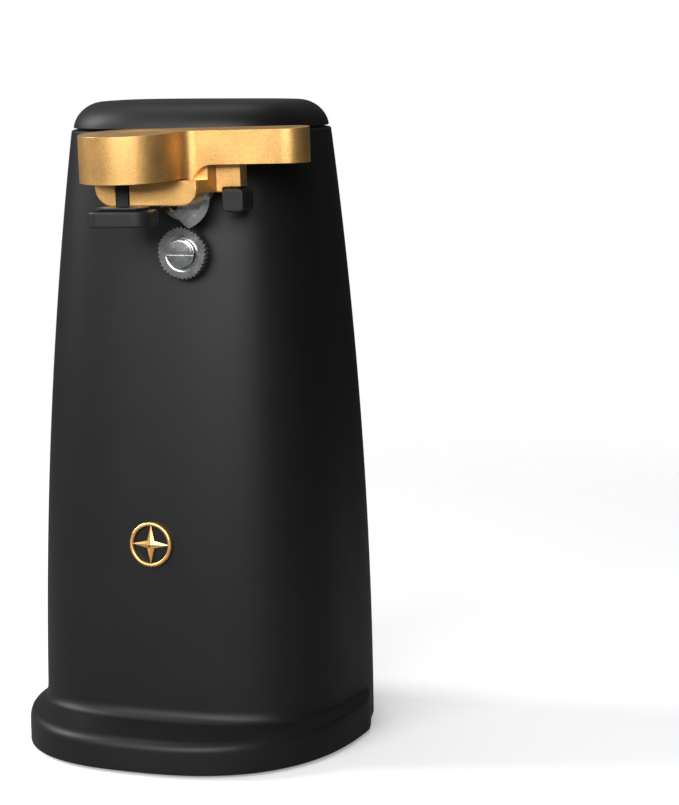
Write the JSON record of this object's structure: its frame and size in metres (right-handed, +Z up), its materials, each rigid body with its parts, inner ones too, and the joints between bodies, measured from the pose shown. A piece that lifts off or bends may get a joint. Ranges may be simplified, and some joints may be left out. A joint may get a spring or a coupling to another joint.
{
  "type": "electric can opener",
  "caption": "Tall tapered countertop can opener with a wide plinth, a metallic press lever, a cutter blade, a lid magnet and a motor-driven toothed wheel.",
  "frame": {"origin": "on the floor, under the middle of the object's bounding box", "axes": "+Z up, the working side with the lever faces -Y, +X to the right of someone facing it"},
  "size_m": [0.1268, 0.1312, 0.24],
  "materials": {
    "housing_black": "matt soft-touch",
    "nylon_black": "moulded satin",
    "rubber_black": "matt",
    "gold_paint": "satin metallic gold paint, fine grain",
    "bronze": "sintered, oiled",
    "zinc_casting": "as cast",
    "lamination": "stamped and stacked",
    "copper": "enamelled wire",
    "white_plastic": "moulded",
    "natural_nylon": "moulded, translucent off-white",
    "ferrite": "sintered",
    "plate_steel": "zinc plated",
    "black_oxide": "blackened",
    "steel": "bright"
  },
  "bodies": {
    "housing": {"main_housing": "housing_black", "rear_cover": "housing_black", "top_cap": "housing_black", "base_plate": "nylon_black", "rubber_foot_1": "rubber_black", "rubber_foot_2": "rubber_black", "rubber_foot_3": "rubber_black", "rubber_foot_4": "rubber_black", "base_screw_1": "steel", "base_screw_2": "steel", "base_screw_3": "steel", "base_screw_4": "steel", "cover_screw_1": "steel", "cover_screw_2": "steel", "cord_gland": "rubber_black", "emblem_badge": "gold_paint", "can_guide": "nylon_black", "front_gear_plate": "plate_steel", "rear_gear_plate": "plate_steel", "plate_spacer_1": "steel", "plate_spacer_2": "steel", "plate_spacer_3": "steel", "plate_spacer_4": "steel", "plate_screw_1": "steel", "plate_screw_2": "steel", "plate_screw_3": "steel", "plate_screw_4": "steel", "idler_pin_1": "steel", "idler_pin_2": "steel", "lever_bushing": "bronze", "drive_bushing": "bronze", "switch_body": "nylon_black", "stator_stack": "lamination", "coil_bobbin": "white_plastic", "coil_winding": "copper", "motor_bracket_front": "zinc_casting", "motor_bracket_rear": "zinc_casting", "motor_screw_1": "steel", "motor_screw_2": "steel"},
    "lever": {"lever_shell": "gold_paint", "lever_carrier": "gold_paint", "cutter_blade": "steel", "blade_rivet_1": "steel", "blade_rivet_2": "steel", "magnet_pin": "steel", "pivot_shaft": "steel", "switch_cam": "nylon_black"},
    "magnet": {"magnet_arm": "nylon_black", "lid_magnet": "ferrite", "magnet_plate": "black_oxide"},
    "drive": {"output_gear": "natural_nylon", "drive_shaft": "steel", "drive_wheel": "steel"},
    "idler_2": {"idler_gear_2": "natural_nylon"},
    "idler_1": {"idler_gear_1": "natural_nylon"},
    "rotor": {"rotor_core": "lamination", "rotor_shaft": "steel", "motor_pinion": "bronze", "cooling_fan": "white_plastic"},
    "plunger": {"switch_plunger": "white_plastic"}
  },
  "joints": [
    {"name": "lever_hinge", "type": "hinge", "parent": "housing", "child": "lever", "pos_m": [-0.008, -0.02967, 0.219], "axis": [0, -1, 0], "range_deg": [0, 35]},
    {"name": "magnet_swing", "type": "hinge", "parent": "lever", "child": "magnet", "pos_m": [-0.00391, -0.04587, 0.21509], "axis": [-0.9997, 0, -0.0227], "range_deg": [0, 20]},
    {"name": "rotor_spin", "type": "hinge", "parent": "housing", "child": "rotor", "pos_m": [0, 0.01533, 0.10392], "axis": [0, 1, 0], "continuous": true},
    {"name": "idler_1_spin", "type": "hinge", "parent": "housing", "child": "idler_1", "pos_m": [-0.012, -0.00067, 0.13141], "axis": [0, 1, 0], "continuous": true},
    {"name": "idler_2_spin", "type": "hinge", "parent": "housing", "child": "idler_2", "pos_m": [-0.002, -0.00867, 0.16102], "axis": [0, 1, 0], "continuous": true},
    {"name": "drive_spin", "type": "hinge", "parent": "housing", "child": "drive", "pos_m": [0.013, -0.02967, 0.187], "axis": [0, 1, 0], "continuous": true},
    {"name": "plunger_slide", "type": "slide", "parent": "housing", "child": "plunger", "axis": [0, 0, -1], "range_m": [0, 0.001]}
  ],
  "couplings": [
    {"joint": "idler_1_spin", "follows": "rotor_spin", "ratio": -0.26316},
    {"joint": "idler_2_spin", "follows": "rotor_spin", "ratio": 0.083102},
    {"joint": "drive_spin", "follows": "rotor_spin", "ratio": -0.027701},
    {"joint": "plunger_slide", "follows": "lever_hinge", "m_per_rad": 0.0016}
  ]
}
